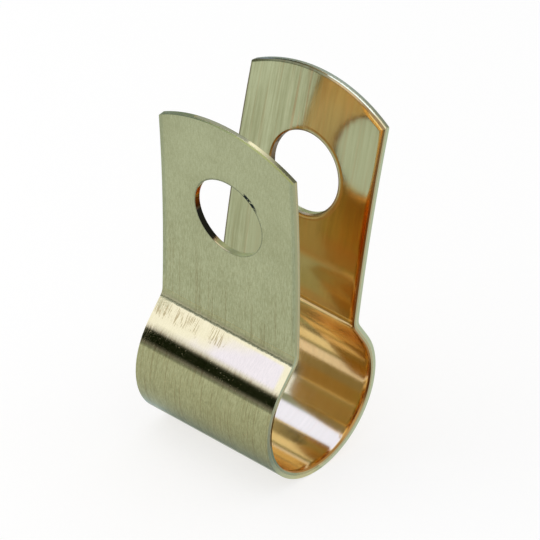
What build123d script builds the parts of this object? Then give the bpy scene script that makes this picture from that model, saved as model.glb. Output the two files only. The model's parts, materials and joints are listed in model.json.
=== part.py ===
from build123d import *
import os
from math import acos, atan2, cos, degrees, hypot, isclose, radians, sqrt

# Strip, as it comes from the coil
strip_width = 18.0
sheet_thickness = 0.8

# Loop that goes round the pipe, standing open before the bolt is drawn up, and its straight shoulders
loop_bore = 15.6
shoulder_length = 2.7
neck_gap = 8.6
neck_bend_radius = 1.4

# Tabs: lengths run along the sheet from the end of the neck bend, and the bow spreads the tabs upwards
tab_length = 25.2
tab_lean = 3.5
tab_bow_radius = 225.0
tab_crown_radius = 17.5
tab_corner_radius = 0.2

# Bolt holes, punched through both tabs
hole_diameter = 9.0
hole_height = 13.65

# Die roll that blanking leaves round the edges of the inner face, narrower than the corners it turns
roll_width = min(0.18, 0.9 * tab_corner_radius)
roll_depth = min(0.1, 0.125 * sheet_thickness)

# The sheet's mid-line: loop, shoulder, neck bend and tab run into each other without a corner
half_sheet = sheet_thickness / 2
loop_mid_radius = loop_bore / 2 + half_sheet
bend_mid_radius = neck_bend_radius + half_sheet
bow_mid_radius = tab_bow_radius + half_sheet

# The neck bend's centre stands off the shoulder's end, and the gap between the tabs says how far out it is
bend_reach = neck_gap / 2 + (half_sheet + bend_mid_radius) * cos(radians(tab_lean))
bend_height = loop_mid_radius + bend_mid_radius
bend_distance = hypot(bend_height, shoulder_length)
shoulder_angle = degrees(acos(bend_reach / bend_distance) - atan2(shoulder_length, bend_height))

# The crown's arc meets the sides of the strip this far below its top
crown_drop = tab_crown_radius - sqrt(tab_crown_radius**2 - strip_width**2 / 4)
crown_above_hole = tab_length - hole_height

# The blank is longer than the tab before its end is punched to shape
blank_length = tab_length + crown_drop
blank_bow = degrees(blank_length / bow_mid_radius)
hole_bow = degrees(hole_height / bow_mid_radius)
punch_travel = 4 * sheet_thickness

with BuildPart() as clip_strap:
    # One half of the strip, from the bottom of the loop to the end of the blank
    with BuildSketch(Plane.XZ) as section:
        with BuildLine() as mid_line:
            loop = CenterArc((0, 0), loop_mid_radius, -90, 90 + shoulder_angle)
            shoulder = PolarLine(loop @ 1, shoulder_length, direction=loop % 1)
            neck = JernArc(shoulder @ 1, shoulder % 1, bend_mid_radius, -(shoulder_angle + tab_lean))
            JernArc(neck @ 1, neck % 1, bow_mid_radius, -blank_bow)
            to_hole = JernArc(neck @ 1, neck % 1, bow_mid_radius, -hole_bow, mode=Mode.PRIVATE)
        trace(line_width=sheet_thickness)
    extrude(amount=strip_width / 2, both=True)

    # The tab under the punch: x runs across the strip, y up the tab, and the hole is the origin
    hole_point = to_hole @ 1
    up_the_tab = to_hole % 1
    punch_plane = Plane(
        origin=(hole_point.X, 0, hole_point.Y),
        x_dir=(0, 1, 0),
        z_dir=(up_the_tab.Y, 0, -up_the_tab.X),
    )

    # What is punched away: all above the crown's arc, and the bolt hole
    with BuildSketch(punch_plane) as slugs:
        with Locations((0, crown_above_hole - crown_drop)):
            Rectangle(2 * strip_width, 3 * crown_drop, align=(Align.CENTER, Align.MIN))
        with Locations((0, crown_above_hole - tab_crown_radius)):
            Circle(tab_crown_radius, mode=Mode.SUBTRACT)
        Circle(hole_diameter / 2)
    extrude(amount=punch_travel, both=True, mode=Mode.SUBTRACT)

    # The die roll round the hole, on the face that turns towards the other tab
    round_faces = clip_strap.faces().filter_by(GeomType.CYLINDER)
    tab_face = round_faces.filter_by(lambda face: isclose(face.radius, tab_bow_radius + sheet_thickness))[0]
    chamfer(tab_face.inner_wires()[0].edges(), length=roll_width, length2=roll_depth, reference=tab_face)

    mirror(about=Plane.YZ)

    # Small round corners where the crown meets the sides of the strip, above the holes
    straight_edges = clip_strap.edges().filter_by(GeomType.LINE).filter_by(Axis.Y, reverse=True)
    corners = straight_edges.filter_by(lambda edge: edge.center().Z > hole_point.Y)
    fillet(corners, tab_corner_radius)

    # The die roll on the outline: it runs on from the sides of the bore, up the tabs and over their crowns
    round_faces = clip_strap.faces().filter_by(GeomType.CYLINDER)
    bore_face = round_faces.filter_by(lambda face: isclose(face.radius, loop_bore / 2))[0]
    bore_sides = bore_face.edges().filter_by(GeomType.CIRCLE)
    chamfer(bore_sides, length=roll_width, length2=roll_depth, reference=bore_face)

clip_strap.part.label = "clip_strap"

os.makedirs("parts", exist_ok=True)
export_step(clip_strap.part, "parts/clip_strap.step")
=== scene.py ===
import json
from functools import reduce
from math import acos, atan2, cos, hypot, pi, radians, sin, tan

import bpy
from mathutils import Matrix, Vector


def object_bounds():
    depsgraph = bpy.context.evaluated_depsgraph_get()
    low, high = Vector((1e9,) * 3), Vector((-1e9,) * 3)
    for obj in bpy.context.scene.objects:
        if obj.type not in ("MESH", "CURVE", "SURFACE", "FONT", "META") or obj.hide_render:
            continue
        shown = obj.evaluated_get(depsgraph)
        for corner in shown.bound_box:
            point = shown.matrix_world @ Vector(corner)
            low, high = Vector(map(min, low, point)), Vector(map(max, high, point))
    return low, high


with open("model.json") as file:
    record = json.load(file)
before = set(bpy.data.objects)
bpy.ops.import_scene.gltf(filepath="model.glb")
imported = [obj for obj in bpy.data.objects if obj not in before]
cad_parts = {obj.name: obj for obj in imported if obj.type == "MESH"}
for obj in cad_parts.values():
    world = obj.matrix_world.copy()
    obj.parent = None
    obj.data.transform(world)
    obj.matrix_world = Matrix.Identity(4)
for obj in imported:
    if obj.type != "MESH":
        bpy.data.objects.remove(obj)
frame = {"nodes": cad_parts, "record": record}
cad_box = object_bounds()

MM = 0.001

# Camera, found from the clip's outline in the photograph
CAMERA_AZIMUTH = radians(-51.787)
CAMERA_ELEVATION = radians(34.211)
CAMERA_ROLL = radians(4.320)
CAMERA_DISTANCE = 1.08
CAMERA_LENS = 699.1
CAMERA_SENSOR = 36.0
CAMERA_TARGET_HEIGHT = 12.15 * MM
CAMERA_SIDESTEP = 0.729 * MM
CAMERA_RISE = 0.090 * MM

# Sizes of the bent strip, in millimetres, for the marks that follow its folds and edges
HALF_SHEET = 0.4
HALF_WIDTH = 9.0
SHOULDER_LENGTH = 2.7
NECK_GAP = 8.6
BEND_RADIUS = 1.8
TAB_LEAN = radians(3.5)
TAB_BOW_RADIUS = 225.4
TAB_LENGTH = 25.2
HOLE_HEIGHT = 13.65
CROWN_RADIUS = 17.5

# The soft part of the die roll at the edges of the inner face, in millimetres
ROLL_WIDTH = 0.75
ROLL_DEPTH = 0.12

# The scratched patches of the shoulders: middle and reach across the strip, in millimetres
SCRATCH_PATCHES = ((7.9, 1.2), (4.9, 2.3), (0.6, 1.4))

# Studio
FLOOR_LEVEL = cad_box[0].z - 0.02 * MM
FLOOR_GREY = (0.34, 0.34, 0.34)
FLOOR_GLOW = 0.70
WORLD_FILL = 0.96
WORLD_WHITE = (1.0, 1.0, 1.0)
LAMP_SIDES = (0.22, 0.13)
LAMP_BRIGHTNESS = 0.6
SOFTBOX_DISTANCE = 0.25
SOFTBOX_WIDTH = 0.22
DAYLIGHT = (1.095, 1.38, 2.24)
SKYLIGHT = (1.057, 1.37, 3.0)
SHADE = (0.286, 0.39, 0.45)
BLACK = (0.007, 0.014, 0.006)

# The inside of the loop mirrors itself many times
GLOSSY_BOUNCES = 10

# Colours of the brass faces, and the tints that lie over them: rosy and stained streaks, a painted shade
# over the loop and a painted warm reflection beside the back hole
PALE_BRASS = (0.966, 0.725, 0.36)
DULL_BRASS = (0.672, 0.495, 0.221)
SHOULDER_BRASS = (0.84, 0.62, 0.273)
BARE_BRASS = (0.787, 0.585, 0.407)
ROSY = (1.0, 0.81, 0.76)
STAIN = (0.80, 0.74, 0.68)
LOOP_SHADE = (0.955, 0.91, 0.835)
WARM_REFLECTION = (1.0, 0.70, 0.40)

# Colours of the fold, the marks and the rims; the fold's darkening, the crease line, the rims and the burr
# line are painted shade
DULL_FOLD_SHADE = (0.56, 0.46, 0.19)
CREASE_SHADE = (0.20, 0.17, 0.07)
SCUFF = (0.46, 0.36, 0.14)
HAIR_LINE = (0.55, 0.42, 0.18)
SCRATCH = (0.40, 0.25, 0.08)
TAB_RIM_SHADE = (0.83, 0.86, 0.88)
HOLE_RIM_SHADE = (0.30, 0.24, 0.12)
BURR_SHADE = (0.02, 0.02, 0.012)

# Painted shade and reflection tints over the die roll
NEAR_ROLL_SHADE = (0.72, 0.60, 0.46)
FAR_ROLL_SHADE = (0.50, 0.52, 0.48)
LOOP_ROLL_SHADE = (0.62, 0.50, 0.36)
CORNER_ROLL_SHADE = (0.60, 0.64, 0.80)
CROWN_ROLL_SHADE = (0.52, 0.56, 0.50)

# Colours of the sheared sides and crowns, with painted highlights under the loop's front and painted shade
# and highlights along the crowns
TORN_SIDE = (0.45, 0.51, 0.345)
TORN_TAB_SIDE = (0.36, 0.38, 0.215)
TORN_LOW_SIDE_HIGHLIGHT = (0.95, 0.83, 0.48)
BURNISHED_SIDE = (0.36, 0.34, 0.19)
BURNISHED_LOW_SIDE_HIGHLIGHT = (0.80, 0.64, 0.34)
TORN_FRONT_CROWN_SHADE_AND_HIGHLIGHT = ((0.36, 0.38, 0.18), (0.50, 0.52, 0.20))
TORN_BACK_CROWN_SHADE_AND_HIGHLIGHT = ((0.22, 0.22, 0.13), (0.52, 0.55, 0.37))
BURNISHED_FRONT_CROWN_HIGHLIGHT = (0.96, 0.90, 0.58)
BURNISHED_BACK_CROWN_HIGHLIGHT = (0.80, 0.72, 0.46)
CROWN_SHADE_LINE = (0.22, 0.22, 0.17)
CROWN_END_SHADE = (0.02, 0.03, 0.01)

# Painted reflections, shade and highlights of the hole walls, set by which way each part of the wall faces
FRONT_HOLE_WALL_REFLECTION = (0.52, 0.32, 0.15)
BACK_HOLE_WALL_REFLECTION = (0.13, 0.095, 0.05)
HOLE_WALL_SHADE = (0.012, 0.012, 0.008)
HOLE_WALL_FOOT_SHADE_AND_LIGHT = ((0.30, 0.32, 0.15), (0.47, 0.48, 0.22))
HOLE_WALL_HIGHLIGHT_LINE = (0.75, 0.68, 0.42)
NEAR_HOLE_WALL_HIGHLIGHT = (0.80, 0.80, 0.36)


class Field:
    """A number that changes over a surface, made by node maths."""

    def __init__(self, bench, socket):
        self.bench = bench
        self.socket = socket

    def __add__(self, other):
        return self.bench.maths("ADD", self, other)

    def __sub__(self, other):
        return self.bench.maths("SUBTRACT", self, other)

    def __rsub__(self, other):
        return self.bench.maths("SUBTRACT", other, self)

    def __mul__(self, other):
        return self.bench.maths("MULTIPLY", self, other)

    def __truediv__(self, other):
        return self.bench.maths("DIVIDE", self, other)

    def __abs__(self):
        return self.bench.maths("ABSOLUTE", self)

    def root(self):
        return self.bench.maths("SQRT", self)

    def least(self, other):
        return self.bench.maths("MINIMUM", self, other)

    def most(self, other):
        return self.bench.maths("MAXIMUM", self, other)

    def past(self, limit):
        """1 where the number is over the limit, 0 elsewhere."""
        return self.bench.maths("GREATER_THAN", self, limit)

    def ramp(self, low, high, bottom=0.0, top=1.0):
        """Goes smoothly from bottom to top as the number goes from low to high."""
        made = self.bench.node("ShaderNodeMapRange", interpolation_type="SMOOTHSTEP")
        for socket, value in zip(made.inputs, (self, low, high, bottom, top)):
            self.bench.put(socket, value)
        return Field(self.bench, made.outputs[0])

    def about(self, centre, reach):
        """1 where the number is near the centre, and 0 once it is further off than the reach."""
        return abs(self - centre).ramp(reach, reach * 0.5)

    def choose(self, first, second):
        """The first number where this one is 0, the second where it is 1."""
        made = self.bench.node("ShaderNodeMix", data_type="FLOAT")
        for index, value in ((0, self), (2, first), (3, second)):
            self.bench.put(made.inputs[index], value)
        return Field(self.bench, made.outputs[0])


class Bench:
    """Adds nodes to one node tree and joins them up."""

    def __init__(self, tree):
        self.tree = tree
        tree.nodes.clear()

    def node(self, kind, **settings):
        made = self.tree.nodes.new(kind)
        for name, value in settings.items():
            setattr(made, name, value)
        return made

    def put(self, socket, value):
        """Links a field or another socket to the socket, or sets a number or a colour on it."""
        if isinstance(value, Field):
            value = value.socket
        if isinstance(value, bpy.types.NodeSocket):
            self.tree.links.new(value, socket)
        elif isinstance(value, tuple):
            socket.default_value = (*value, 1.0)
        else:
            socket.default_value = value

    def maths(self, operation, *values):
        made = self.node("ShaderNodeMath", operation=operation)
        for socket, value in zip(made.inputs, values):
            self.put(socket, value)
        return Field(self, made.outputs[0])

    def stretch(self, vector, scale):
        made = self.node("ShaderNodeVectorMath", operation="MULTIPLY")
        self.put(made.inputs[0], vector)
        made.inputs[1].default_value = scale
        return made.outputs[0]

    def axes(self, vector):
        made = self.node("ShaderNodeSeparateXYZ")
        self.put(made.inputs[0], vector)
        return [Field(self, socket) for socket in made.outputs]

    def noise(self, vector, scale, detail, roughness):
        made = self.node("ShaderNodeTexNoise")
        self.put(made.inputs["Vector"], self.stretch(vector, scale))
        self.put(made.inputs["Scale"], 1.0)
        self.put(made.inputs["Detail"], detail)
        self.put(made.inputs["Roughness"], roughness)
        return Field(self, made.outputs["Fac"])

    def blend(self, share, first, second, how="MIX"):
        """The first colour where the share is 0, and the second, or the two multiplied, where it is 1."""
        made = self.node("ShaderNodeMix", data_type="RGBA", blend_type=how)
        for index, value in ((0, share), (6, first), (7, second)):
            self.put(made.inputs[index], value)
        return made.outputs[2]

    def blend_shaders(self, share, first, second):
        made = self.node("ShaderNodeMixShader")
        for socket, value in zip(made.inputs, (share, first, second)):
            self.put(socket, value)
        return made.outputs[0]


def new_material(name):
    material = bpy.data.materials.new(name)
    material.use_nodes = True
    return material, Bench(material.node_tree)


def show_surface(bench, shader, kind="ShaderNodeOutputMaterial"):
    output = bench.node(kind)
    bench.put(output.inputs["Surface"], shader)


def seen_share(bench):
    """1 for rays that show the background: straight to the camera, off metal or through glass."""
    path = bench.node("ShaderNodeLightPath")
    direct = bench.maths("MAXIMUM", path.outputs["Is Camera Ray"], path.outputs["Is Glossy Ray"])
    return direct.most(path.outputs["Is Transmission Ray"])


def place_camera():
    back = Vector((
        sin(CAMERA_AZIMUTH) * cos(CAMERA_ELEVATION),
        -cos(CAMERA_AZIMUTH) * cos(CAMERA_ELEVATION),
        sin(CAMERA_ELEVATION),
    ))
    level = Vector((cos(CAMERA_AZIMUTH), sin(CAMERA_AZIMUTH), 0.0))
    upright = back.cross(level)
    right = level * cos(CAMERA_ROLL) + upright * sin(CAMERA_ROLL)
    up = upright * cos(CAMERA_ROLL) - level * sin(CAMERA_ROLL)
    target = Vector((0.0, 0.0, CAMERA_TARGET_HEIGHT)) + right * CAMERA_SIDESTEP + up * CAMERA_RISE
    turn = Matrix((right, up, back)).transposed().to_4x4()
    data = bpy.data.cameras.new("camera")
    data.sensor_width = CAMERA_SENSOR
    data.lens = CAMERA_LENS
    camera = bpy.data.objects.new("camera", data)
    camera.matrix_world = Matrix.Translation(target + back * CAMERA_DISTANCE) @ turn
    bpy.context.scene.collection.objects.link(camera)
    bpy.context.scene.camera = camera


def reflected_way(turn):
    """The way that a sight line leaves the strip, at this turn round the strip's width."""
    sideways = cos(CAMERA_AZIMUTH) * cos(CAMERA_ELEVATION)
    reach = (1.0 - sideways ** 2) ** 0.5
    return Vector((reach * cos(turn), sideways, reach * sin(turn)))


def facing(turn, distance, around=(0.0, 0.0, 0.0)):
    """A frame this far along a sight line reflected around a point in millimetres, its Z along that line."""
    away = reflected_way(turn)
    along = Vector((-sin(turn), 0.0, cos(turn)))
    across = along.cross(away)
    turned = Matrix((across, along, away)).transposed().to_4x4()
    return Matrix.Translation(Vector(around) * MM + away * distance) @ turned


def towards(way, distance):
    """A frame at this distance from the clip's middle, its Z along that way."""
    middle = Vector((0.0, 0.0, CAMERA_TARGET_HEIGHT))
    away = Vector(way).normalized()
    turned = away.to_track_quat("Z", "Y").to_matrix().to_4x4()
    return Matrix.Translation(middle + away * distance) @ turned


def add_plane(name, size):
    bpy.ops.object.select_all(action="DESELECT")
    bpy.ops.mesh.primitive_plane_add(size=size)
    plane = bpy.context.object
    plane.name = name
    return plane


def add_lamp(name, place):
    """A soft lamp that lights the floor. The metal shows the softbox cards in its stead."""
    data = bpy.data.lights.new(name, "AREA")
    data.shape = "RECTANGLE"
    data.size, data.size_y = LAMP_SIDES
    data.energy = LAMP_BRIGHTNESS * pi * LAMP_SIDES[0] * LAMP_SIDES[1]
    lamp = bpy.data.objects.new(name, data)
    lamp.matrix_world = place
    lamp.visible_glossy = False
    bpy.context.scene.collection.objects.link(lamp)


def add_card(name, place, sides, colour, glow=True, fades=(0.0, 0.0)):
    """A board that only the metal's reflections show, glowing by itself or lit by the lamps.

    The two shares of its height that fades names grow clear towards its foot and its top."""
    card = add_plane(name, 1.0)
    card.matrix_world = place @ Matrix.Diagonal((sides[0], sides[1], 1.0, 1.0))
    card.visible_camera = False
    card.visible_diffuse = False
    card.visible_transmission = False
    card.visible_shadow = False
    material, bench = new_material(name)
    surface = bench.node("ShaderNodeEmission" if glow else "ShaderNodeBsdfDiffuse")
    bench.put(surface.inputs["Color"], colour)
    seen = surface.outputs[0]
    if any(fades):
        foot, top = [max(share, 0.001) for share in fades]
        along = bench.axes(bench.node("ShaderNodeTexCoord").outputs["Object"])[1]
        faded = along.ramp(0.5 - top, 0.5).most(along.ramp(foot - 0.5, -0.5))
        clear = bench.node("ShaderNodeBsdfTransparent")
        seen = bench.blend_shaders(faded, seen, clear.outputs[0])
    show_surface(bench, seen)
    card.data.materials.append(material)


def add_band(name, turns, distance, width, colour, around=(0.0, 0.0, 0.0), fades=(0.0, 0.0)):
    """A glowing card that the strip's faces show between these two turns, in degrees."""
    low, high = turns
    turn = radians((low + high) / 2)
    reach = hypot(reflected_way(turn).x, reflected_way(turn).z)
    height = 2 * distance * reach * tan(radians(high - low) / 2)
    add_card(name, facing(turn, distance, around), (width, height), colour, fades=fades)


def add_board(name, across, along, colour, glow=False, lift=0.02 * MM):
    """A card that lies on the floor, between two places across the studio and two along it."""
    left, right = across
    front, back = along
    middle = Matrix.Translation(((left + right) / 2, (front + back) / 2, FLOOR_LEVEL + lift))
    add_card(name, middle, (right - left, back - front), colour, glow=glow)


def add_floor():
    floor = add_plane("floor", 4.0)
    floor.location = (0.0, 0.0, FLOOR_LEVEL)
    material, bench = new_material("white_floor")
    lit = bench.node("ShaderNodeBsdfDiffuse")
    bench.put(lit.inputs["Color"], FLOOR_GREY)
    glow = bench.node("ShaderNodeEmission")
    bench.put(glow.inputs["Strength"], seen_share(bench) * FLOOR_GLOW)
    both = bench.node("ShaderNodeAddShader")
    bench.put(both.inputs[0], lit.outputs[0])
    bench.put(both.inputs[1], glow.outputs[0])
    clear = bench.node("ShaderNodeBsdfTransparent")
    side = bench.node("ShaderNodeNewGeometry")
    from_above = bench.blend_shaders(side.outputs["Backfacing"], both.outputs[0], clear.outputs[0])
    show_surface(bench, from_above)
    floor.data.materials.append(material)


def set_world():
    world = bpy.data.worlds.new("studio")
    bpy.context.scene.world = world
    world.use_nodes = True
    bench = Bench(world.node_tree)
    fill = bench.node("ShaderNodeBackground")
    bench.put(fill.inputs["Strength"], WORLD_FILL)
    white = bench.node("ShaderNodeBackground")
    bench.put(white.inputs["Color"], WORLD_WHITE)
    bench.put(white.inputs["Strength"], 1.0)
    around = bench.blend_shaders(seen_share(bench), fill.outputs[0], white.outputs[0])
    show_surface(bench, around, "ShaderNodeOutputWorld")


def add_softboxes():
    """The bright bands in the metal, and the dim one between them."""
    add_band("softbox_left", turns=(125.0, 161.0), distance=SOFTBOX_DISTANCE, width=SOFTBOX_WIDTH,
             colour=DAYLIGHT, around=(-6.0, 0.0, 5.0))
    add_band("softbox_gap", turns=(111.0, 126.0), distance=0.26, width=SOFTBOX_WIDTH, colour=SHADE)
    add_band("softbox_top", turns=(82.0, 116.5), distance=SOFTBOX_DISTANCE, width=SOFTBOX_WIDTH,
             colour=SKYLIGHT, around=(0.0, 0.0, -6.0), fades=(0.0, 0.18))


def add_walls():
    """What the metal mirrors around the clip, with a dark flag for the front of the loop."""
    add_band("left_wall", turns=(155.0, 185.0), distance=0.30, width=0.4, colour=(0.72, 0.90, 1.25))
    add_band("canopy", turns=(46.0, 81.0), distance=0.20, width=0.12, colour=(0.31, 0.345, 0.37))
    add_band("right_wall", turns=(3.2, 47.0), distance=0.5, width=0.36, colour=(0.37, 0.32, 0.20))
    before_loop = facing(radians(175.6), 105 * MM, around=(-7.7, 0.0, 3.8))
    beside = Matrix.Translation((-29.0 * MM, -2.75 * MM, 0.0))
    add_card("black_flag", before_loop @ beside, (80 * MM, 73 * MM), BLACK, fades=(0.30, 0.48))
    behind_clip = Matrix.Translation((0.07, 0.25, 0.07)) @ Matrix.Rotation(pi / 2, 4, "X")
    add_card("back_wall", behind_clip, (0.43, 0.16), (0.171, 0.22, 0.196))


def add_boards():
    """What the metal mirrors on the floor, from left to right, and in front of the clip."""
    add_board("left_board", (-0.3, 0.0), (-0.25, 0.25), (0.50, 0.712, 0.87), lift=0.01 * MM)
    add_board("under_board", (-0.0046, 0.001), (-0.010, 0.011), (0.46, 0.52, 0.50), glow=True,
              lift=0.03 * MM)
    add_board("near_board", (0.0, 0.0105), (0.0, 0.2), (0.565, 0.575, 0.59))
    add_board("right_board", (0.0105, 0.034), (0.0, 0.2), (0.46, 0.442, 0.375))
    add_board("pale_board", (0.034, 0.058), (0.0, 0.2), (0.46, 0.52, 0.49))
    add_board("dull_board", (0.058, 0.13), (0.0, 0.2), (0.40, 0.37, 0.29))
    add_board("far_board", (0.13, 0.33), (-0.1, 1.2), (0.53, 0.70, 1.03), glow=True)
    add_board("last_board", (0.33, 1.3), (-0.1, 1.2), (0.53, 0.61, 0.72), glow=True)
    add_board("front_board", (-0.08, 0.005), (-0.12, -0.015), (0.238, 0.12, 0.035))


def light_studio():
    set_world()
    add_floor()
    add_lamp("lamp_left", facing(radians(140.0), SOFTBOX_DISTANCE))
    add_lamp("lamp_top", facing(radians(97.0), SOFTBOX_DISTANCE))
    add_softboxes()
    add_walls()
    add_boards()
    add_card("softbox_right", towards((0.8, 0.2, 0.5), 0.2), (0.10, 0.10), (1.33, 1.6, 2.3))


class Sheet:
    """Where a point lies on the bent strip, worked out from its place in millimetres."""

    def __init__(self, bench, spot, facing_way):
        mounts = {mount["name"]: mount for mount in frame["record"]["mounts"]}
        self.x, self.y, self.z = bench.axes(spot)
        self.facing = bench.axes(facing_way)
        self.side = abs(self.x)
        self.loop_radius = mounts["pipe_seat"]["dims"]["r_mm"] + HALF_SHEET
        self.find_bend()
        self.find_depth()
        self.find_edges(mounts["bolt_hole_right"])

    def find_bend(self):
        """The neck bend's centre and the straight shoulder's slope."""
        reach = NECK_GAP / 2 + (HALF_SHEET + BEND_RADIUS) * cos(TAB_LEAN)
        height = self.loop_radius + BEND_RADIUS
        self.slope = acos(reach / hypot(height, SHOULDER_LENGTH)) - atan2(SHOULDER_LENGTH, height)
        bend_x = height * cos(self.slope) - SHOULDER_LENGTH * sin(self.slope)
        bend_z = height * sin(self.slope) + SHOULDER_LENGTH * cos(self.slope)
        self.tab_start = (bend_x - BEND_RADIUS * cos(TAB_LEAN), bend_z + BEND_RADIUS * sin(TAB_LEAN))
        across = self.side - bend_x
        rise = self.z - bend_z
        self.from_bend = (across * across + rise * rise).root()

    def find_depth(self):
        """How deep in the sheet a point is: below 0 towards the inner face, above 0 towards the outer."""
        in_loop = (self.x * self.x + self.z * self.z).root() - self.loop_radius
        in_shoulder = self.side * cos(self.slope) + self.z * sin(self.slope) - self.loop_radius
        in_neck = BEND_RADIUS - self.from_bend
        rise = self.z - self.tab_start[1]
        lean = rise * tan(TAB_LEAN) + rise * rise * (0.5 / TAB_BOW_RADIUS)
        in_tab = self.side - lean - self.tab_start[0]
        self.up_shoulder = self.z * cos(self.slope) - self.side * sin(self.slope)
        on_shoulder = self.up_shoulder.past(0.0).choose(in_loop, in_shoulder)
        to_neck = self.up_shoulder.past(SHOULDER_LENGTH).choose(on_shoulder, in_neck)
        self.depth = rise.past(0.0).choose(to_neck, in_tab)

    def find_edges(self, hole):
        """How far a point is from the strip's sides, the holes and the crowns, and what lies along them."""
        hole_radius = hole["dims"]["r_mm"]
        from_side = HALF_WIDTH - abs(self.y)
        up = (self.z - hole["pos_m"][2] / MM) / abs(hole["axis"][0])
        over_crown_centre = up - (TAB_LENGTH - HOLE_HEIGHT - CROWN_RADIUS)
        across = self.y * self.y
        from_hole = (across + up * up).root() - hole_radius
        from_crown = CROWN_RADIUS - (across + over_crown_centre * over_crown_centre).root()
        on_tab = up.past(-1.5 * hole_radius)
        self.from_edge = from_side.least(on_tab.choose(1.0, from_hole.least(from_crown)))
        on_end = abs(self.facing[0]).ramp(0.75, 0.45) * on_tab * from_side.past(0.05)
        self.hole_wall = on_end * from_hole.ramp(0.35, 0.3)
        self.crown = on_end - self.hole_wall
        self.cut = abs(self.facing[1]).ramp(0.55, 0.85).most(on_end)
        self.hole_rim = from_hole.ramp(0.16, 0.06) * on_tab
        self.side_rim = from_side.ramp(0.65, 0.25)
        self.crown_rim = from_crown.ramp(0.30, 0.16) * on_tab
        self.by_crown = from_crown.ramp(0.9, 0.7) * on_tab
        self.by_hole = from_hole.ramp(0.9, 0.7) * on_tab
        # Where the burr's painted shade line lies, above and right of the front hole
        above_right = self.y.ramp(-1.9, -2.3) * self.y.ramp(-4.1, -3.5) * up.ramp(0.9, 1.7)
        self.hole_burr = from_hole.ramp(0.50, 0.30) * above_right * self.x.ramp(0.0, -1.0) * on_tab


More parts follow.
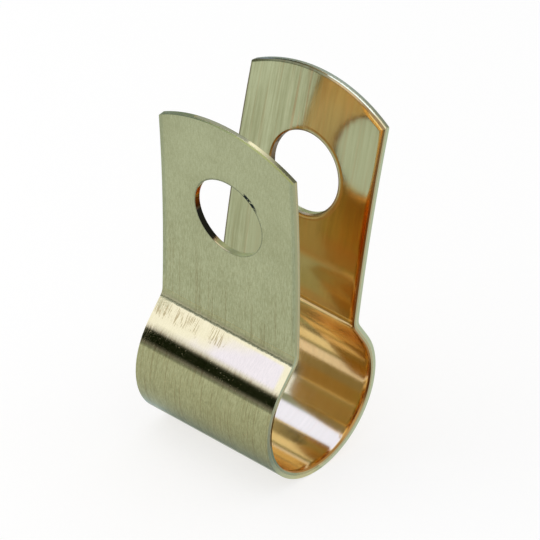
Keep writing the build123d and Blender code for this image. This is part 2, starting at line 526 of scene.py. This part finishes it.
class Brass:
    """Rolled brass strip: fine drawing lines, scratches, a dulled fold with painted shade, and sheared
    edges.
    """

    def __init__(self):
        self.material, self.bench = new_material("brushed_brass")
        place = self.bench.node("ShaderNodeTexCoord")
        self.spot = self.bench.stretch(place.outputs["Object"], (1 / MM, 1 / MM, 1 / MM))
        self.sheet = Sheet(self.bench, self.spot, place.outputs["Normal"])
        self.find_faces()
        self.find_scratches()
        self.find_fold()
        self.find_sheared_edges()
        self.paint_faces()
        self.paint_shoulders()
        self.paint_die_roll()
        self.paint_marks()
        self.paint_sheared_edges()
        self.make_metal()

    def marks(self, along, across, detail=2.0, roughness=0.5):
        """Random marks, about as many to the millimetre along the strip and across it as asked."""
        return self.bench.noise(self.spot, (along, across, along), detail, roughness)

    def cover(self, share, colour):
        """Lays a colour over what is painted so far."""
        self.colour = self.bench.blend(share, self.colour, colour)

    def tint(self, share, colour):
        """Multiplies what is painted so far by a colour."""
        self.colour = self.bench.blend(share, self.colour, colour, "MULTIPLY")

    def find_faces(self):
        """The two faces of the strip, and the random marks that several finishes share."""
        sheet = self.sheet
        self.outer = sheet.depth.ramp(-0.1, 0.1)
        self.inner = 1.0 - self.outer
        self.face = 1.0 - sheet.cut
        self.on_loop = sheet.z.ramp(8.6, 7.2)
        self.on_back_tab = sheet.x.past(0.0)
        shoulder = sheet.up_shoulder.ramp(-0.8, 0.0) * sheet.up_shoulder.ramp(3.0, 2.5)
        self.on_shoulder = shoulder * self.outer * self.face
        polished = self.inner * sheet.z.ramp(21.0, 14.0) * sheet.y.ramp(7.0, 4.0)
        self.polished = polished.most(self.inner * sheet.y.ramp(1.5, -0.5) * 0.7)
        self.fine_lines = self.marks(0.25, 14.0, detail=3.0, roughness=0.6)
        self.broad_lines = self.marks(0.04, 2.6, detail=3.0)
        self.patches = self.marks(0.22, 0.22, detail=3.0)
        self.mottles = self.marks(2.5, 2.2, detail=3.0, roughness=0.7)
        self.grit = self.marks(9.0, 9.0)

    def find_scratches(self):
        """Short scratches along the strip and across it on the shoulders, and hair lines on the loop."""
        sheet = self.sheet
        scratch_along = self.marks(0.7, 8.0).ramp(0.50, 0.60)
        scratch_across = self.marks(9.0, 1.4, detail=1.0).ramp(0.60, 0.66) * 0.3
        ragged_y = sheet.y + (self.mottles - 0.5) * 2.0
        ragged_rise = sheet.up_shoulder + (self.mottles - 0.5) * 1.6
        patches = reduce(Field.most, [ragged_y.about(*patch) for patch in SCRATCH_PATCHES])
        rubbed = patches * ragged_rise.about(1.6, 1.05)
        self.scratches = scratch_along.most(scratch_across) * rubbed * self.on_shoulder
        hairs = abs(self.marks(0.25, 2.2, detail=1.0) - 0.5).ramp(0.012, 0.004)
        self.hair_lines = hairs * sheet.z.ramp(3.0, 1.0) * self.outer * self.face
        worn_end = sheet.y.ramp(6.8, 8.0) * sheet.up_shoulder.ramp(0.7, 1.7)
        self.scuffed = worn_end * self.mottles.ramp(0.40, 0.55) * self.on_shoulder

    def find_fold(self):
        """The bending tool dulls the outer face in the fold, and leaves a crease at the shoulder's end; the
        colours later laid on both are painted shade.
        """
        sheet = self.sheet
        below_tab = sheet.z.ramp(8.5, 8.1)
        self.past_shoulder = sheet.up_shoulder - SHOULDER_LENGTH
        in_bend = sheet.from_bend.ramp(1.75, 1.45) * self.past_shoulder.ramp(-0.1, 0.05)
        self.fold = in_bend * below_tab * self.outer * self.face
        from_crease = abs(self.past_shoulder - 0.04 + (self.mottles - 0.5) * 0.3)
        broken_line = from_crease.ramp(0.20, 0.08) * self.grit.ramp(0.35, 0.55, 0.45, 1.0)
        self.crease = broken_line * below_tab * self.outer * self.face
        specks = self.marks(7.0, 7.0, detail=1.0).ramp(0.69, 0.77)
        self.specks = specks * sheet.up_shoulder.ramp(0.0, -0.6) * self.outer

    def find_sheared_edges(self):
        """A burnished band next to the inner face, a torn one next to the outer, and the hole walls."""
        sheet = self.sheet
        front_crown = sheet.crown * (1.0 - self.on_back_tab)
        ragged_depth = sheet.depth + self.grit * 0.3 - front_crown * 0.17
        self.torn = ragged_depth.ramp(0.05, 0.2) * (sheet.cut - sheet.hole_wall)
        self.burnished = sheet.cut - self.torn
        self.rolled = sheet.from_edge.ramp(0.30, 0.16) * self.inner * self.face
        self.far_wall = sheet.facing[1].ramp(0.1, -0.1)
        self.wall_foot = sheet.facing[2].ramp(0.86, 0.94).most(1.0 - self.far_wall)

    def paint_faces(self):
        """Drawing lines, rosy and stained streaks, painted shade over the loop's outer face, and a painted
        warm reflection beside the back tab's hole.
        """
        sheet = self.sheet
        dashes = self.marks(1.5, 8.5, detail=3.0, roughness=0.65)
        long_lines = self.marks(0.10, 2.4, detail=5.0, roughness=0.75)
        dash_share = sheet.z.ramp(26.0, 10.0, 0.5, 0.95)
        soft_dashes = (dashes - 0.5) * dash_share + (self.grit - 0.5) * 0.35 + 0.5
        lines = self.outer.choose(long_lines, soft_dashes) * 0.8 + self.patches * 0.2
        grain = (lines - 0.5) * (1.0 - self.polished * 0.88) + 0.5
        self.colour = self.bench.blend(grain.ramp(0.34, 0.66), DULL_BRASS, PALE_BRASS)
        rosy_lines = self.broad_lines.ramp(0.54, 0.64) * sheet.y.ramp(7.0, 2.5, 0.4, 1.0)
        self.tint(rosy_lines * (self.inner - self.polished * 0.9), ROSY)
        stained = self.marks(0.10, 4.5).ramp(0.53, 0.66) * sheet.z.ramp(19.0, 9.0)
        self.tint(stained * (self.outer - self.on_shoulder).most(0.0) * 0.8, STAIN)
        # Painted shade: the loop's outer face darker and warmer, standing in for the shaded floor it mirrors
        self.tint(sheet.z.ramp(5.2, 4.2) * self.outer, LOOP_SHADE)
        # Painted reflection: a warm tint on the back tab's inner face beside its hole
        beside_hole = sheet.y.ramp(-2.5, -7.5) * sheet.z.ramp(13.5, 17.5) * sheet.z.ramp(23.5, 21.0)
        self.tint(beside_hole * sheet.x.ramp(0.0, 1.0) * self.inner, WARM_REFLECTION)

    def paint_shoulders(self):
        """Shoulders rubbed bare towards one end, the dulled fold above them with painted shade, its crease
        as a painted shade line, and a scuff.
        """
        sheet = self.sheet
        near_end = (self.patches * 8.0 - sheet.y - sheet.up_shoulder * 2.0).ramp(-1.0, 5.0)
        bare = near_end * sheet.up_shoulder.ramp(2.5, 2.1) * sheet.from_edge.ramp(0.5, 1.1)
        self.cover(self.on_shoulder * 0.8, self.bench.blend(bare, SHOULDER_BRASS, BARE_BRASS))
        # The fold's colour is painted shade, deepest at the crease; its dulling is in the roughness
        dulled_and_shaded = self.fold * self.past_shoulder.ramp(1.0, 0.1, 0.25, 0.75)
        self.cover(dulled_and_shaded * self.mottles.ramp(0.35, 0.6, 0.6, 1.0), DULL_FOLD_SHADE)
        # Painted shade: a dark broken line along the crease
        self.cover(self.crease, CREASE_SHADE)
        self.cover(self.scuffed * 0.6, SCUFF)

    def paint_die_roll(self):
        """The rounded edges of the inner face, with painted shade and reflection: darker than the face and
        cooler on the far side.
        """
        sheet = self.sheet
        far_side = sheet.y.ramp(-2.5, 0.5)
        # Painted shade and reflection tints over the die roll
        self.tint(self.rolled, self.bench.blend(far_side, NEAR_ROLL_SHADE, FAR_ROLL_SHADE))
        bright_end = sheet.z.ramp(-3.0, -4.0) * sheet.z.ramp(-7.0, -6.3)
        self.tint((1.0 - bright_end * 0.5) * self.rolled * self.on_loop, LOOP_ROLL_SHADE)
        rolled_crown = self.rolled * sheet.crown_rim
        self.tint(rolled_crown * sheet.y.ramp(-4.0, -7.0), CORNER_ROLL_SHADE)
        self.tint(rolled_crown * far_side, CROWN_ROLL_SHADE)

    def paint_marks(self):
        """The rims of the tabs and holes as painted shade, the hair lines, the scratches and a painted dark
        shade line along the burr.
        """
        sheet = self.sheet
        # Painted shade along the tab sides on the outer face
        self.tint(sheet.side_rim * sheet.z.ramp(9.0, 11.0) * self.outer * self.face, TAB_RIM_SHADE)
        self.cover(self.hair_lines * 0.42, HAIR_LINE)
        self.cover(self.scratches * 0.75, SCRATCH)
        # Painted shade: a dark line round the holes on the outer face
        self.cover(sheet.hole_rim * self.outer * self.grit.ramp(0.4, 0.6, 0.4, 0.9), HOLE_RIM_SHADE)
        # Painted shade: a near-black line along the burr above and right of the front hole
        burr_shade = sheet.hole_burr * self.outer * self.face
        self.cover(burr_shade * self.mottles.ramp(0.60, 0.52), BURR_SHADE)

    def side_colours(self):
        """The torn and the burnished band along the strip's sides, the torn one darker on the front tab, and
        both lightened under the loop's front as a painted reflection of the bright floor.
        """
        sheet = self.sheet
        # Painted highlight: the lower sides lightened, standing in for the bright floor they mirror
        lit_low_edge = sheet.z.ramp(-3.0, -7.0) * sheet.x.ramp(1.5, -1.0)
        on_front_tab = sheet.x.ramp(0.0, -1.0) * sheet.z.ramp(7.0, 9.0)
        torn = self.bench.blend(on_front_tab, TORN_SIDE, TORN_TAB_SIDE)
        torn = self.bench.blend(lit_low_edge, torn, TORN_LOW_SIDE_HIGHLIGHT)
        return torn, self.bench.blend(lit_low_edge, BURNISHED_SIDE, BURNISHED_LOW_SIDE_HIGHLIGHT)

    def crown_colours(self):
        """The torn and the burnished band over the crowns, with painted shade and highlights along them and
        a painted shade line along the inner face.
        """
        sheet = self.sheet
        # Painted shade and highlight along the crowns, set by the place along them
        torn_front_shade_and_highlight = self.bench.blend(sheet.y.ramp(5.0, 0.5), *TORN_FRONT_CROWN_SHADE_AND_HIGHLIGHT)
        torn_back_shade_and_highlight = self.bench.blend(sheet.y.ramp(-8.0, 4.0), *TORN_BACK_CROWN_SHADE_AND_HIGHLIGHT)
        torn = self.bench.blend(self.on_back_tab, torn_front_shade_and_highlight, torn_back_shade_and_highlight)
        burnished = self.bench.blend(self.on_back_tab, BURNISHED_FRONT_CROWN_HIGHLIGHT, BURNISHED_BACK_CROWN_HIGHLIGHT)
        # Painted shade: a dark line along the crown next to the inner face
        painted_shade_line = sheet.depth.ramp(-0.20, -0.27) * self.on_back_tab.choose(0.3, 1.0)
        return torn, self.bench.blend(painted_shade_line, burnished, CROWN_SHADE_LINE, "MULTIPLY")

    def hole_wall_colour(self):
        """The hole walls, painted by which way they face: painted reflections, a black painted shade band
        above, and a paler painted foot with highlights.
        """
        sheet = self.sheet
        sideways, up = sheet.facing[1:]
        # The hole wall colours are painted light and shade by which way the wall faces: black painted shade
        # above, painted reflections, and a paler painted foot
        torn = up.ramp(0.0, 0.3) * (up + self.grit * 0.2).ramp(1.05, 0.95)
        wall = self.bench.blend(self.on_back_tab, FRONT_HOLE_WALL_REFLECTION, BACK_HOLE_WALL_REFLECTION)
        wall = self.bench.blend(torn, wall, HOLE_WALL_SHADE)
        foot = self.bench.blend(up.ramp(0.93, 0.98), *HOLE_WALL_FOOT_SHADE_AND_LIGHT)
        foot = self.bench.blend(sheet.depth.ramp(0.2, 0.3) * self.far_wall, foot, HOLE_WALL_HIGHLIGHT_LINE)
        foot = self.bench.blend(sideways.ramp(0.05, 0.4), foot, NEAR_HOLE_WALL_HIGHLIGHT)
        return self.bench.blend(self.wall_foot, wall, foot)

    def paint_sheared_edges(self):
        """The strip's sides, the crowns, each with painted shade darkening one end, and the hole walls."""
        sheet = self.sheet
        torn_side, burnished_side = self.side_colours()
        torn_crown, burnished_crown = self.crown_colours()
        self.cover(self.torn, self.bench.blend(sheet.crown, torn_side, torn_crown))
        smooth = self.bench.blend(sheet.crown, burnished_side, burnished_crown)
        smooth = self.bench.blend(sheet.hole_wall, smooth, self.hole_wall_colour())
        self.cover(self.burnished, smooth)
        # Painted shade: each crown darkened towards one end
        front_crown_end_shade = sheet.y.ramp(-7.5, -3.0, 0.9, 0.0) * (self.burnished + self.torn * 0.35)
        back_crown_end_shade = sheet.y.ramp(3.5, -1.5, 0.85, 0.0) * self.burnished
        self.cover(sheet.crown * self.on_back_tab.choose(front_crown_end_shade, back_crown_end_shade), CROWN_END_SHADE)

    def roughness(self):
        """Nearly polished faces, streaked on the loop, with rougher marks and edges."""
        sheet = self.sheet
        streaks = self.marks(0.15, 10.0).ramp(0.45, 0.75)
        rough = self.patches.ramp(0.3, 0.7, 0.04, 0.06) + self.fine_lines.ramp(0.4, 0.8, 0.0, 0.05)
        rough = rough + sheet.z.ramp(3.5, 1.0) * self.outer * (streaks * 0.08 + 0.03)
        rough = rough + self.inner * (self.on_loop * 0.015 + 0.04)
        rougher_places = (
            ((self.scratches * 0.25).most(self.scuffed * 0.5), 0.42),
            (self.fold, 0.40),
            (self.specks, 0.30),
            (self.rolled, 0.26),
            (self.torn.most(sheet.hole_wall * self.wall_foot), 0.45),
        )
        for share, place_roughness in rougher_places:
            rough = share.choose(rough, place_roughness)
        return rough

    def height(self):
        """Height in millimetres. The die roll lets the inner face fall away towards its edges."""
        sheet = self.sheet
        roll_share = (1.0 - sheet.from_edge / ROLL_WIDTH).most(0.0)
        sharp_crown = sheet.by_crown * sheet.y.ramp(-7.5, -5.5)
        sharp_hole = sheet.by_hole * sheet.y.ramp(0.5, 2.5) * 0.6
        soft = 1.0 - sharp_crown.most(sharp_hole)
        roll = roll_share * roll_share * self.inner * self.face * soft * -ROLL_DEPTH
        smoothed = self.polished.most(self.on_shoulder) * 0.75
        lines = (self.fine_lines * 0.0012 + self.broad_lines * 0.004) * (1.0 - smoothed)
        return roll + lines * self.face + self.grit * self.torn * 0.02

    def make_metal(self):
        bump = self.bench.node("ShaderNodeBump")
        self.bench.put(bump.inputs["Strength"], 1.0)
        self.bench.put(bump.inputs["Distance"], MM)
        self.bench.put(bump.inputs["Height"], self.height())
        metal = self.bench.node("ShaderNodeBsdfPrincipled")
        self.bench.put(metal.inputs["Metallic"], 1.0)
        self.bench.put(metal.inputs["Base Color"], self.colour)
        self.bench.put(metal.inputs["Roughness"], self.roughness())
        self.bench.put(metal.inputs["Normal"], bump.outputs[0])
        show_surface(self.bench, metal.outputs[0])


place_camera()
light_studio()
strap = frame["nodes"]["clip_strap"]
strap.material_slots[0].material = Brass().material
bpy.context.scene.view_settings.view_transform = "Standard"
bpy.context.scene.cycles.glossy_bounces = GLOSSY_BOUNCES
